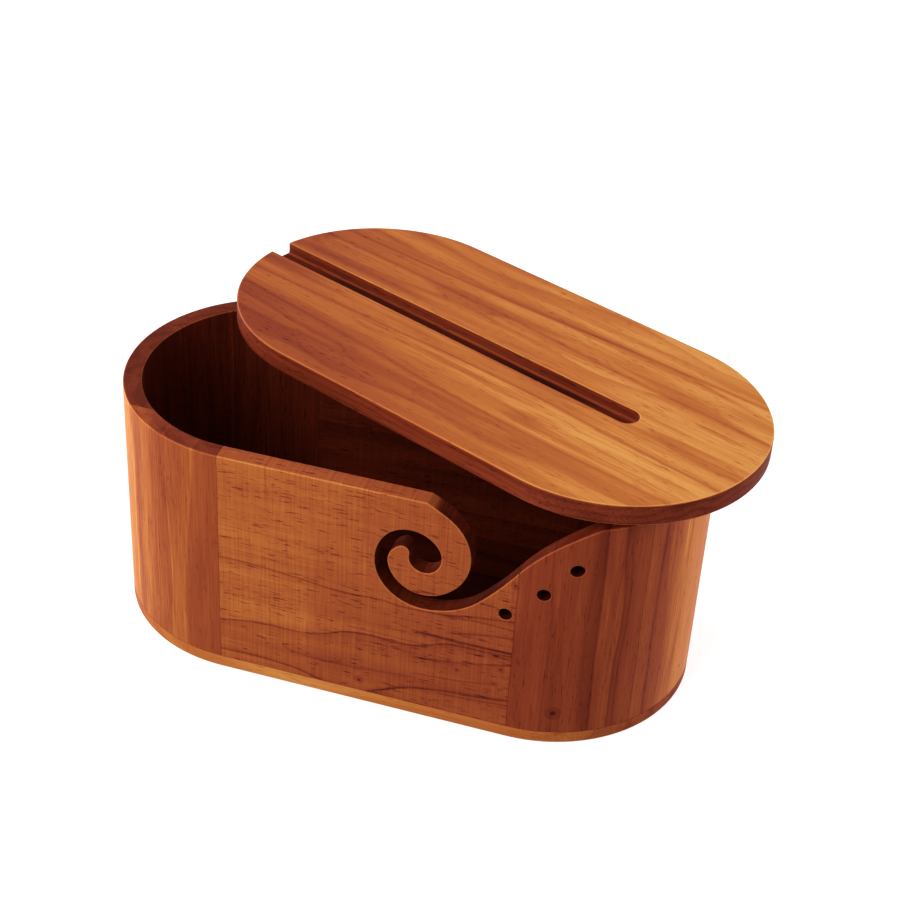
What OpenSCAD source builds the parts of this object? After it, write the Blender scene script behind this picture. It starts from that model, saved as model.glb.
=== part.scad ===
// Yarn dispenser box: a wooden box with half-round ends, a spiral yarn slot in its front wall, and a loose lid
// with a groove that holds a telephone upright. The origin is the middle of the base's underside; the slot is
// in the front wall, towards -Y, and +X is to the right of someone who faces it.

/* [Box] */
// Overall length of the box
box_l = 300; // [260:1:400]
// Overall width, which is also the diameter of the round ends
box_w = 150; // [135:1:180]
// Overall height of the box without its lid
box_h = 131; // [115:1:180]
// Thickness of the walls
wall_t = 9.5; // [7:0.5:12]
// Thickness of the base panel
base_t = 7; // [4:0.5:12]
// Radius that softens the rim, the base and the lid
arris_r = 1; // [0.5:0.1:2]

/* [Yarn slot] */
// How far the slot's left corner at the rim lies from the right-hand joint of the front panel
slot_set = 46; // [40:1:60]
// How steeply the rim turns down at that corner, in degrees
slot_dip = 26; // [20:1:32]
// Radius of the tongue's nose, the round front of the curl
tongue_r = 27; // [25:0.5:28]
// Radius of the round eye in the middle of the curl
eye_r = 7.5; // [6.5:0.5:8]

/* [Holes] */
// Diameter of the three holes beside the slot
hole_d = 6.5; // [4.5:0.5:8]

/* [Lid] */
// Thickness of the lid board
lid_t = 11; // [9:0.5:16]
// How far the lid board stands out past the walls, all round
lid_overhang = 0.5; // [0:0.5:5]
// Thickness of the panel under the lid that drops into the box
locating_t = 6; // [3:0.5:12]
// Gap between that panel and the walls when the lid is on
locating_gap = 1; // [0.5:0.5:4]

/* [Telephone groove] */
// Width of the groove
groove_w = 12.5; // [8:0.5:20]
// Depth of the groove
groove_d = 6.5; // [3:0.5:8]
// How far the groove's round end stops short of the lid's right end
groove_stop = 63.5; // [40:0.5:120]
// How far the groove's middle line lies behind the middle of the lid
groove_back = 0.7; // [0:0.1:20]
// Radius of the corner between the groove's sides and its floor
groove_floor_r = 1.5; // [0.5:0.5:3]

/* [Lid at rest] */
// How far the lid lies to the right of the box's middle
lid_x = 29; // [0:1:40]
// How far the lid lies behind the box's middle
lid_y = 35; // [0:1:40]
// How far the lid is turned clockwise, seen from above, in degrees
lid_turn = 23.3; // [0:0.1:40]

/* [Hidden] */
end_boards = 6;
$fn = 96;

// The box's outline is a straight run between two half rounds, joined at x = -seam_x and x = seam_x
end_r = box_w / 2;
seam_x = box_l / 2 - end_r;
wall_h = box_h - base_t;
board_t = box_w / end_boards;

// How far a cutting shape runs past the surface that it cuts
past = 1;

// The edge of the yarn slot, as one chain of arcs [radius, turn in degrees], a turn to the left being positive.
// It leaves the rim, runs round the tongue, its hook and the eye, then back outside them and up the ramp.
slot_arcs = [
    [90, -8], [tongue_r, -119], [18, -107], [11, -70], [3.5, -131],
    [eye_r, 149], [11, 76], [16, 109], [24, 127], [39, 46], [160, 10], [80, -37]];
slot_start = [seam_x - slot_set, box_h];
// Longest step along an arc, and largest turn in one step
slot_step = 2.5;
slot_step_turn = 12;
// The slot's outline is closed this far above the rim
slot_head = 8;

// Places of the three holes: right of the panel joint, and below the rim
hole_places = [[-5, 54.3], [12.3, 38.6], [26.2, 23.3]];

lid_l = box_l + 2 * lid_overhang;
lid_w = box_w + 2 * lid_overhang;
locating_l = box_l - 2 * (wall_t + locating_gap);
locating_w = box_w - 2 * (wall_t + locating_gap);
groove_end_x = lid_l / 2 - groove_stop - groove_w / 2;

panel_colour = [0.68, 0.35, 0.16];
end_colour = [0.60, 0.27, 0.13];
base_colour = [0.78, 0.45, 0.20];
lid_colour = [0.80, 0.50, 0.22];

// Points along one arc that starts at p in the direction heading; the start itself is left out
function arc_points(p, heading, radius, turn) =
    let (side = sign(turn),
         middle = p + side * radius * [-sin(heading), cos(heading)],
         length = radius * abs(turn) * PI / 180,
         steps = ceil(max(length / slot_step, abs(turn) / slot_step_turn)))
    [for (k = [1:steps])
        let (h = heading + turn * k / steps)
        middle + side * radius * [sin(h), -cos(h)]];

// Points along a chain of arcs, each tangent to the one before
function chain_points(p, heading, arcs, i = 0) =
    i == len(arcs) ? [] :
    let (points = arc_points(p, heading, arcs[i][0], arcs[i][1]))
    concat(points, chain_points(points[len(points) - 1], heading + arcs[i][1], arcs, i + 1));

// Half of a board's section, from its middle line to its edge, with soft corners where asked
module half_section(half_w, h, r, soft_bottom, soft_top) {
    low = soft_bottom ? r : 0;
    high = soft_top ? r : 0;
    square([half_w - r, h]);
    translate([0, low]) square([half_w, h - low - high]);
    if (soft_bottom) translate([half_w - r, r]) circle(r);
    if (soft_top) translate([half_w - r, h - r]) circle(r);
}

// A straight run of that section along +X from the origin
module straight_run(run, half_w, h, r, soft_bottom, soft_top) {
    rotate([90, 0, 90]) linear_extrude(run) {
        half_section(half_w, h, r, soft_bottom, soft_top);
        mirror([1, 0]) half_section(half_w, h, r, soft_bottom, soft_top);
    }
}

// A half round of that section, towards +X from the origin
module round_end(half_w, h, r, soft_bottom, soft_top) {
    rotate([0, 0, -90]) rotate_extrude(angle = 180) half_section(half_w, h, r, soft_bottom, soft_top);
}

// A board with the stadium outline, standing on z = 0
module stadium_board(length, width, h, r, soft_bottom, soft_top) {
    half_run = (length - width) / 2;
    translate([-half_run, 0, 0]) straight_run(2 * half_run, width / 2, h, r, soft_bottom, soft_top);
    for (turned = [0, 180]) {
        rotate([0, 0, turned])
            translate([half_run, 0, 0]) round_end(width / 2, h, r, soft_bottom, soft_top);
    }
}

// Section of the wall, with both corners of the rim softened
module wall_section() {
    square([wall_t, wall_h - arris_r]);
    translate([arris_r, 0]) square([wall_t - 2 * arris_r, wall_h]);
    for (x = [arris_r, wall_t - arris_r]) translate([x, wall_h - arris_r]) circle(arris_r);
}

module straight_panel(inner_or_front_y) {
    translate([-seam_x, inner_or_front_y, base_t]) rotate([90, 0, 90]) linear_extrude(2 * seam_x) wall_section();
}

// The half-round wall at one end: side is 1 on the right and -1 on the left
module end_wall(side) {
    translate([side * seam_x, 0, base_t])
        rotate([0, 0, -90 * side]) rotate_extrude(angle = 180)
            translate([end_r - wall_t, 0]) wall_section();
}

// The yarn slot, from the front into the hollow
module yarn_slot() {
    edge = chain_points(slot_start, -slot_dip, slot_arcs);
    top = box_h + slot_head;
    last = edge[len(edge) - 1];
    rotate([90, 0, 0]) linear_extrude(end_r + past)
        polygon(concat([[slot_start[0], top], slot_start], edge, [[last[0], top]]));
}

module side_holes() {
    for (place = hole_places) {
        translate([seam_x + place[0], 0, box_h - place[1]])
            rotate([90, 0, 0]) cylinder(h = end_r + past, d = hole_d);
    }
}

// One board of a round end, counted from the front
module end_board(side, number) {
    front_y = -end_r + (number - 1) * board_t;
    front_past = number == 1 ? past : 0;
    back_past = number == end_boards ? past : 0;
    color(end_colour) difference() {
        intersection() {
            end_wall(side);
            translate([side > 0 ? seam_x - past : -box_l / 2 - past, front_y - front_past, 0])
                cube([end_r + 2 * past, board_t + front_past + back_past, box_h + past]);
        }
        if (side > 0 && number <= end_boards / 2) {
            yarn_slot();
            side_holes();
        }
    }
}

module base_panel() {
    color(base_colour) stadium_board(box_l, box_w, base_t, arris_r, true, false);
}

module front_panel() {
    color(panel_colour) difference() {
        straight_panel(-end_r);
        yarn_slot();
        side_holes();
    }
}

module back_panel() {
    color(panel_colour) straight_panel(end_r - wall_t);
}

// Puts a piece of the lid where the lid lies at rest, on the rim
module on_rim() {
    translate([lid_x, lid_y, box_h]) rotate([0, 0, -lid_turn]) children();
}

// The telephone groove, with its top edge at z = 0
module telephone_groove() {
    translate([0, groove_back, -groove_d]) {
        translate([-lid_l / 2 - past, 0, 0])
            straight_run(lid_l / 2 + past + groove_end_x, groove_w / 2, groove_d + past, groove_floor_r, true, false);
        translate([groove_end_x, 0, 0])
            round_end(groove_w / 2, groove_d + past, groove_floor_r, true, false);
    }
}

module lid_board() {
    color(lid_colour) on_rim() translate([0, 0, locating_t]) difference() {
        stadium_board(lid_l, lid_w, lid_t, arris_r, true, true);
        translate([0, 0, lid_t]) telephone_groove();
    }
}

module lid_locating_panel() {
    color(lid_colour) on_rim() stadium_board(locating_l, locating_w, locating_t, arris_r, true, false);
}

base_panel();
front_panel();
back_panel();
for (i = [1:end_boards]) {
    end_board(-1, i);
    end_board(1, i);
}
lid_board();
lid_locating_panel();
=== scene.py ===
"""Looks of the yarn dispenser box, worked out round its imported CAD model.

Each board is a new mesh with softened edges that stands for its CAD node, and has a wood mixed for it alone.
The file is laid out as a Blender add-on and is run as a script. Lengths are in metres, and in millimetres
where a name or a material says so.
"""

import math

import bmesh
import bpy
import numpy as np
from mathutils import Matrix, Vector


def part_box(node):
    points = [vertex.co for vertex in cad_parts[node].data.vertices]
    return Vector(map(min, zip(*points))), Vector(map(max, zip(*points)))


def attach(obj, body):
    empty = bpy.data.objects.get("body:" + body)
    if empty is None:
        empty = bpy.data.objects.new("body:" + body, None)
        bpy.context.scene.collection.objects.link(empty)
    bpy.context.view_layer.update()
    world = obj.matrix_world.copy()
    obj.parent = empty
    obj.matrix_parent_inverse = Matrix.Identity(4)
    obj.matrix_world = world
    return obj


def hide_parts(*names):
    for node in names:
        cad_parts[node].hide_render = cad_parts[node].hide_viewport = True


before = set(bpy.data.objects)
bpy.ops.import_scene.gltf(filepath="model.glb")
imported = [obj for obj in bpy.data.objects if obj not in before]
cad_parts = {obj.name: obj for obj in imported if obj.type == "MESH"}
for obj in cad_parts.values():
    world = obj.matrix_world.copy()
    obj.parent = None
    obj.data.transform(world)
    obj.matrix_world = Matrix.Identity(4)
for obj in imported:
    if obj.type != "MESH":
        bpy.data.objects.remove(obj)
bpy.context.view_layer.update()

bl_info = {
    "name": "Yarn dispenser box",
    "version": (1, 0, 0),
    "blender": (4, 5, 0),
    "location": "View3D > Sidebar > Yarn Box",
    "description": "Builds the boards, the lid and the studio of a wooden yarn dispenser box",
    "category": "Object",
}

MM = 0.001


def node_box(name):
    """Lowest and highest corner of a CAD node, as arrays."""
    low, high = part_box(name)
    return np.array(low), np.array(high)


# The box, from its CAD nodes: two straight panels between two round ends, on a base
BASE_HIGH = node_box("base_panel")[1]
FRONT_LOW, FRONT_HIGH = node_box("front_panel")
BACK_LOW, BACK_HIGH = node_box("back_panel")
BOARD_LOW, BOARD_HIGH = node_box("left_end_board_2")
END_R = BASE_HIGH[1]
SEAM_X = FRONT_HIGH[0]
WALL_T = BACK_HIGH[1] - BACK_LOW[1]
BASE_T = BASE_HIGH[2]
BOX_H = BACK_HIGH[2]
BOARD_T = BOARD_HIGH[1] - BOARD_LOW[1]
END_BOARDS = sum(name.startswith("left_end_board_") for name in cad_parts)

# The lid lies askew: the turn and the radius of its round ends follow from the box that it fills
LID_LOW, LID_HIGH = node_box("lid_board")
LOCATING_LOW, LOCATING_HIGH = node_box("lid_locating_panel")
LID_CENTRE = (LID_LOW + LID_HIGH) / 2
LID_SPAN = LID_HIGH - LID_LOW
LID_TURN = math.acos((LID_SPAN[0] - LID_SPAN[1]) / (2 * SEAM_X * math.sqrt(2))) - math.pi / 4
LID_R = LID_SPAN[0] / 2 - SEAM_X * math.cos(LID_TURN)
LOCATING_R = (LOCATING_HIGH - LOCATING_LOW)[0] / 2 - SEAM_X * math.cos(LID_TURN)

# The edge of the yarn slot, as a chain of arcs [radius in mm, turn in degrees], left turns being positive. It
# leaves the rim, runs round the tongue, its hook and the eye, then back outside them and up the ramp.
SLOT_ARCS = [
    [90, -8], [27, -119], [18, -107], [11, -70], [3.5, -131],
    [7.5, 149], [11, 76], [16, 109], [24, 127], [39, 46], [160, 10], [80, -37],
]
SLOT_SET = 46 * MM
SLOT_DIP = math.radians(26)
# Longest step along the slot's edge, and largest turn in one step
SLOT_STEP = 1 * MM
SLOT_STEP_TURN = math.radians(6)
# Panel outline: the slot's edge stops this far from the joint, and softness changes this near a corner
CLEAR_OF_JOINT = 1.3 * MM
NEAR_CORNER = 3 * MM
# How far a cutting shape runs past the surface that it cuts, and how far outside it its flare begins
PAST = 2 * MM
HOLE_PROUD = 0.05 * MM
GROOVE_PROUD = 0.02 * MM
# How deep a hole is cut, from the front
HOLE_REACH = 2.2 * WALL_T
# Points round a hole, a half round of the box and the round end of the groove
HOLE_POINTS = 48
HALF_ROUND_POINTS = 73
GROOVE_POINTS = 25

# Places of the three holes in mm: right of the panel joint, and below the rim
HOLE_PLACES = [[-5, 54.3], [12.3, 38.6], [26.2, 23.3]]
# Middles of the holes in mm, as (x, z)
BORES = [(SEAM_X / MM + right, BOX_H / MM - down) for right, down in HOLE_PLACES]


# Settings


def length_setting(name, description, default, low, high):
    """Setting that holds a length, its numbers given in mm."""
    return bpy.props.FloatProperty(
        name=name, description=description, default=default * MM, min=low * MM, max=high * MM, unit="LENGTH")


def tone_setting(name, description, default):
    """Setting that holds a colour as it is seen."""
    return bpy.props.FloatVectorProperty(
        name=name, description=description, default=default, min=0, max=1, subtype="COLOR_GAMMA")


def power_setting(name, description, default):
    """Setting that holds the power of a lamp."""
    return bpy.props.FloatProperty(name=name, description=description, default=default, min=0, unit="POWER")


class EdgeSettings(bpy.types.PropertyGroup):
    """How far the edges of the boards are softened."""

    rim: length_setting("Rim", "Radius of the softened rim, lid and base edges", 1.0, 0.2, 2)
    slot: length_setting("Slot", "Radius of the softened edge of the yarn slot", 0.8, 0.2, 2)
    joint: length_setting("Joint", "How far the edges of a glued joint are softened", 0.1, 0.05, 0.6)
    hole: length_setting("Hole", "Radius of the softened edge of the holes and the groove", 0.6, 0.2, 1.5)
    steps: bpy.props.IntProperty(
        name="Steps", description="Facets across a softened edge", default=5, min=2, max=12)


class CutSettings(bpy.types.PropertyGroup):
    """Sizes of the holes and of the telephone groove."""

    hole_d: length_setting("Hole", "Diameter of the three holes", 6.5, 4, 8)
    groove_w: length_setting("Groove width", "Width of the groove in the lid", 12.5, 8, 20)
    groove_d: length_setting("Groove depth", "Depth of the groove in the lid", 6.5, 3, 8)
    groove_stop: length_setting(
        "Groove stop", "Distance from the groove's round end to the lid's right end", 63.5, 40, 120)
    groove_back: length_setting(
        "Groove place", "How far the groove lies behind the lid's middle line", 0.7, 0, 20)
    groove_fillet: length_setting(
        "Groove corner", "Radius of the corner between the groove's sides and floor", 1.5, 0.5, 3)
    groove_mouth: length_setting(
        "Groove mouth", "Radius of the corners where the groove leaves the lid", 1.4, 0.5, 3)


class WoodSettings(bpy.types.PropertyGroup):
    """The six tones of the oiled wood, from its darkest grain to its palest, as they are seen."""

    tone_0: tone_setting("Darkest", "Pores and the darkest grain", (0.20, 0.06, 0.04))
    tone_1: tone_setting("Dark", "End grain and dark bands", (0.41, 0.14, 0.07))
    tone_2: tone_setting("Red brown", "Heartwood", (0.55, 0.23, 0.13))
    tone_3: tone_setting("Orange brown", "Common wood", (0.66, 0.33, 0.165))
    tone_4: tone_setting("Orange", "Pale wood", (0.76, 0.44, 0.205))
    tone_5: tone_setting("Gold", "Palest wood", (0.87, 0.60, 0.31))
    roughness: bpy.props.FloatProperty(
        name="Roughness", description="Roughness of the satin oil finish", default=0.48, min=0, max=1)
    specular: bpy.props.FloatProperty(
        name="Sheen", description="Specular level of the oiled wood", default=0.05, min=0, max=1)
    # Paler softened edges: partly worn wood, partly a painted highlight.
    worn_arris_highlight: bpy.props.FloatProperty(
        name="Arris", description="How much paler the worn, softened edges are", default=0.24, min=0, max=1)


class StageSettings(bpy.types.PropertyGroup):
    """The studio: its light and its camera."""

    world_light: bpy.props.FloatProperty(
        name="Room light", description="Strength of the white room round the box", default=0.45, min=0, max=4)
    key_light: power_setting("Key light", "Power of the large lamp above, in front and to the left", 23.0)
    top_light: power_setting("Top light", "Power of the lamp above", 0.5)
    left_light: power_setting("Left light", "Power of the tall lamp on the left", 15.0)
    right_light: power_setting("Right light", "Power of the tall lamp on the right", 14.5)
    lens: bpy.props.FloatProperty(
        name="Lens", description="Focal length in millimetres", default=76.46, min=20, max=200)
    camera_place: bpy.props.FloatVectorProperty(
        name="Camera place", description="Where the camera stands", subtype="TRANSLATION",
        default=(0.219951, -0.750551, 0.654650))
    camera_turn: bpy.props.FloatVectorProperty(
        name="Camera turn", description="Turn to the right, tilt down and roll", subtype="EULER",
        default=(math.radians(-15.044), math.radians(35.085), math.radians(3.482)))


SETTINGS = {
    "yarn_box_edges": EdgeSettings,
    "yarn_box_cuts": CutSettings,
    "yarn_box_wood": WoodSettings,
    "yarn_box_stage": StageSettings,
}


# Curves and outlines


def arc_chain(start, heading, arcs):
    """Points along a chain of arcs, each tangent to the one before.

    With side = the sign of the turn, an arc's middle is p + side * radius * (-sin h, cos h), and the point
    where the heading has become h' is middle + side * radius * (sin h', -cos h').
    """
    points = [np.array([start])]
    place = np.array(start)
    for radius_mm, turn_degrees in arcs:
        radius = radius_mm * MM
        turn = math.radians(turn_degrees)
        side = math.copysign(1, turn)
        count = math.ceil(max(radius * abs(turn) / SLOT_STEP, abs(turn) / SLOT_STEP_TURN))
        middle = place + side * radius * np.array([-math.sin(heading), math.cos(heading)])
        headings = heading + turn * np.arange(1, count + 1) / count
        arc = middle + side * radius * np.stack([np.sin(headings), -np.cos(headings)], axis=1)
        points.append(arc)
        place = arc[-1]
        heading += turn
    return np.concatenate(points)


SLOT_EDGE = arc_chain((SEAM_X - SLOT_SET, BOX_H), -SLOT_DIP, SLOT_ARCS)


def ramp_part():
    """The stretch of the slot's edge right of the panel joint, from the joint up to the rim.

    The first and the last point lie on the joint and on the rim, on straight lines between neighbours.
    """
    x, z = SLOT_EDGE.T
    rising = np.flatnonzero((x[1:] > SEAM_X) & (x[:-1] <= SEAM_X))[-1]
    x, z = x[rising:], z[rising:]
    joint_z = np.interp(SEAM_X, x, z)
    rim_x = np.interp(BOX_H, z, x)
    kept = (x > SEAM_X) & (z < BOX_H)
    return np.concatenate([[SEAM_X], x[kept], [rim_x]]), np.concatenate([[joint_z], z[kept], [BOX_H]])


def stadium(radius):
    """Outline of two half rounds joined by straight runs: (+-SEAM_X, 0) + radius * (cos f, sin f)."""
    turn = np.linspace(-math.pi / 2, math.pi / 2, HALF_ROUND_POINTS)
    right = np.stack([SEAM_X + radius * np.cos(turn), radius * np.sin(turn)], axis=1)
    return np.concatenate([right, -right])


def soft_angles():
    """Angles across a quarter-round edge, from the side at 0 to the flat at 90 degrees."""
    return np.linspace(0, math.pi / 2, bpy.context.scene.yarn_box_edges.steps + 1)


# Meshes


def make_object(name, points, faces):
    """Object at the origin with that mesh, its faces pointing outwards."""
    mesh = bpy.data.meshes.new(name)
    mesh.from_pydata(points.tolist(), [], faces)
    work = bmesh.new()
    work.from_mesh(mesh)
    inside_out = work.calc_volume(signed=True) < 0
    work.free()
    if inside_out:
        mesh.flip_normals()
    piece = bpy.data.objects.new(name, mesh)
    bpy.context.scene.collection.objects.link(piece)
    return piece


def closed_skin(name, rings):
    """Skin between closed rings of points, an array (ring, point, xyz), with a flat cap at either end.

    Ring i's point j joins ring i + 1's point j and their neighbours j + 1 in one quad.
    """
    ring_count, point_count, _ = rings.shape
    index = np.arange(ring_count * point_count).reshape(ring_count, point_count)
    ahead = np.roll(index, -1, axis=1)
    quads = np.stack([index[:-1], ahead[:-1], ahead[1:], index[1:]], axis=-1).reshape(-1, 4)
    faces = quads.tolist() + [index[0][::-1].tolist(), index[-1].tolist()]
    return make_object(name, rings.reshape(-1, 3), faces)


def lid_frame(points):
    """Points given about the lid's own middle line and z = 0, put where the lid lies."""
    turned = Matrix.Rotation(-LID_TURN, 3, "Z")
    return points @ np.array(turned).T + np.array([LID_CENTRE[0], LID_CENTRE[1], 0])


def stadium_board(name, radius, low, high, low_edge, high_edge, on_lid=False):
    """Board with the stadium outline from z = low to z = high, as rings drawn in at both edges.

    At angle f of an edge of radius e, the ring is drawn in by e (1 - cos f), at e (1 - sin f) from the flat.
    on_lid puts the board where the lid lies.
    """
    angles = soft_angles()
    inset = np.concatenate([low_edge * (1 - np.cos(angles[::-1])), high_edge * (1 - np.cos(angles))])
    height = np.concatenate([
        low + low_edge * (1 - np.sin(angles[::-1])), high - high_edge * (1 - np.sin(angles))])
    outlines = [stadium(radius - drawn) for drawn in inset]
    rings = np.array([np.column_stack([line, np.full(len(line), z)]) for line, z in zip(outlines, height)])
    return closed_skin(name, lid_frame(rings) if on_lid else rings)


def drawn_in(outline, edge):
    """Offset of each outline point for edges drawn in by edge[i] metres, edge[i] being from point i to i + 1.

    With n1, n2 the inward normals of the edges that meet and d1, d2 how far they move, the offset v has
    v . n1 = d1 and v . n2 = d2. Where both move alike, v = d (n1 + n2) / (1 + n1 . n2).
    """
    ahead = np.roll(outline, -1, axis=0) - outline
    ahead /= np.linalg.norm(ahead, axis=1, keepdims=True)
    normal = np.stack([-ahead[:, 1], ahead[:, 0]], axis=1)
    before = np.roll(normal, 1, axis=0)
    d1 = np.roll(edge, 1)[:, None]
    d2 = edge[:, None]
    cosine = (before * normal).sum(axis=1, keepdims=True)
    alike = d1 * (before + normal) / (1 + cosine)
    spread = np.maximum(1 - cosine**2, 1e-4)
    unlike = (d1 * (before - cosine * normal) + d2 * (normal - cosine * before)) / spread
    return np.where(np.abs(d1 - d2) < 1e-9, alike, unlike)


def upright_plate(name, outline, edge, front_y, back_y):
    """Board with an outline (x, z) and a thickness along y, softened on both faces by edge[i] per side.

    Ring k of a face stands e (1 - sin f) in from it, drawn in by e (1 - cos f) of each side's own radius e.
    """
    angles = soft_angles()
    widest = np.maximum(edge, np.roll(edge, 1))
    rings = []
    for face_y, inward, order in ((front_y, 1, angles[::-1]), (back_y, -1, angles)):
        for angle in order:
            ring = outline + drawn_in(outline, edge * (1 - math.cos(angle)))
            depth = face_y + inward * widest * (1 - math.sin(angle))
            rings.append(np.column_stack([ring[:, 0], depth, ring[:, 1]]))
    return closed_skin(name, np.array(rings))


def wall_board(name, outer, inner, top, slope):
    """Upright board between an outer and an inner line (n, 2), with a height and a slope at each station.

    Each station carries one closed profile: e metres in from the outer line, then down the inner line. The
    rim's edges are quarter rounds, e = r (1 - cos f) and z = top - (r / cos slope) (1 - sin f). The ends and
    the foot are softened as joints are: there the profile is drawn in all round.
    """
    edges = bpy.context.scene.yarn_box_edges
    joint, rim = edges.joint, edges.rim
    angles = soft_angles()

    def with_ends(line):
        """The line with a second station a joint's softness in from either end."""
        first = line[0] + joint * (line[1] - line[0]) / np.linalg.norm(outer[1] - outer[0])
        last = line[-1] + joint * (line[-2] - line[-1]) / np.linalg.norm(outer[-2] - outer[-1])
        return np.concatenate([line[:1], [first], line[1:-1], [last], line[-1:]])

    outer, inner, top, slope = with_ends(outer), with_ends(inner), with_ends(top), with_ends(slope)
    drawn = np.zeros(len(outer))
    drawn[[0, -1]] = joint
    thick = np.linalg.norm(inner - outer, axis=1)
    across = (inner - outer) / thick[:, None]
    soft = rim * (1 - np.cos(angles))
    drop = (rim / np.cos(slope))[:, None] * (1 - np.sin(angles))
    ones = np.ones((len(outer), 1))
    foot = BASE_T + joint
    from_outer = np.concatenate([joint * ones, 0 * ones, soft * ones], axis=1) + drawn[:, None]
    heights = np.concatenate([
        BASE_T + drawn[:, None], foot + drawn[:, None], (top - drawn)[:, None] - drop], axis=1)
    distance = np.concatenate([from_outer, thick[:, None] - from_outer[:, ::-1]], axis=1)
    z = np.concatenate([heights, heights[:, ::-1]], axis=1)
    flat = outer[:, None, :] + distance[:, :, None] * across[:, None, :]
    return closed_skin(name, np.concatenate([flat, z[:, :, None]], axis=2))


def end_lines(number, has_ramp):
    """Outer line, inner line, height and slope of one board of the right-hand round end.

    Board 1 starts at the panel joint and is swept by the angle f from -y: (SEAM_X + R sin f, -R cos f). Where
    the ramp cuts it, both lines have the same x, because the cut runs along y. The others are swept by y:
    (SEAM_X + sqrt(R^2 - y^2), y). The last board is the first one turned over.
    """
    inner_r = END_R - WALL_T
    if 1 < number < END_BOARDS:
        y = np.linspace(-END_R + (number - 1) * BOARD_T, -END_R + number * BOARD_T, 13)
        outer = np.stack([SEAM_X + np.sqrt(END_R**2 - y**2), y], axis=1)
        inner = np.stack([SEAM_X + np.sqrt(inner_r**2 - y**2), y], axis=1)
        return outer, inner, np.full(len(y), BOX_H), np.zeros(len(y))
    seam = END_R - BOARD_T
    ends = np.array([math.acos(seam / END_R), math.acos(seam / inner_r)])
    starts = np.zeros(2)
    sweep_top, sweep_slope, sweep = np.zeros(0), np.zeros(0), np.zeros((2, 0))
    if has_ramp:
        x, z = ramp_part()
        sweep = np.arcsin((x - SEAM_X) / np.array([[END_R], [inner_r]]))
        sweep_top = z
        sweep_slope = np.arctan(np.gradient(z, x))
        starts = sweep[:, -1]
    rest = starts[:, None] + (ends - starts)[:, None] * np.linspace(0, 1, 11 if has_ramp else 25)
    if has_ramp:
        rest = rest[:, 1:]
    turn = np.concatenate([sweep, rest], axis=1)
    top = np.concatenate([sweep_top, np.full(rest.shape[1], BOX_H)])
    slope = np.concatenate([sweep_slope, np.zeros(rest.shape[1])])
    side = 1 if number == 1 else -1
    outer, inner = (
        np.stack([SEAM_X + r * np.sin(t), -side * r * np.cos(t)], axis=1)
        for r, t in zip((END_R, inner_r), turn))
    return outer, inner, top, slope


def panel_outline():
    """Outline (x, z) of the front panel with the slot's edge in it, and the softness of each of its sides."""
    edges = bpy.context.scene.yarn_box_edges
    rim, joint, slot = edges.rim, edges.joint, edges.slot
    joint_z = ramp_part()[1][0]
    last = np.flatnonzero(SLOT_EDGE[:, 0] < SEAM_X - CLEAR_OF_JOINT)[-1]
    seam_side = [[-SEAM_X, BASE_T], [SEAM_X, BASE_T], [SEAM_X, joint_z - NEAR_CORNER], [SEAM_X, joint_z]]
    slot_side = SLOT_EDGE[last:0:-1]
    rim_side = [SLOT_EDGE[0], [-SEAM_X, BOX_H], [-SEAM_X, BOX_H - NEAR_CORNER]]
    outline = np.concatenate([seam_side, slot_side, rim_side])
    edge = np.concatenate([np.full(3, joint), np.full(len(slot_side) + 1, slot), [rim], np.full(2, joint)])
    return outline, edge


def wall_face(x):
    """Outer face of the front, as y: -sqrt(R^2 - (x - SEAM_X)^2) right of the joint, and -R left of it."""
    return -np.sqrt(END_R**2 - np.maximum(x - SEAM_X, 0) ** 2)


def hole_cutter(place):
    """Cutting shape of a hole drilled along y, flared where it meets the outer face.

    A ring of radius r + q (1 - sin f) stands q (1 - cos f) behind the face. The last lies in the hollow.
    """
    scene = bpy.context.scene
    radius, flare = scene.yarn_box_cuts.hole_d / 2, scene.yarn_box_edges.hole
    around = np.linspace(0, 2 * math.pi, HOLE_POINTS, endpoint=False)
    middle = np.array([SEAM_X + place[0] * MM, BOX_H - place[1] * MM])
    angles = soft_angles()
    radii = np.concatenate([[radius + flare], radius + flare * (1 - np.sin(angles)), [radius]])
    depths = np.concatenate([[-PAST], flare * (1 - np.cos(angles)) - HOLE_PROUD, [0]])
    x = middle[0] + radii[:, None] * np.cos(around)
    z = middle[1] + radii[:, None] * np.sin(around)
    y = wall_face(x) + depths[:, None]
    y[-1] = -END_R + HOLE_REACH
    return closed_skin("hole_cutter", np.stack([x, y, z], axis=2))


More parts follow.
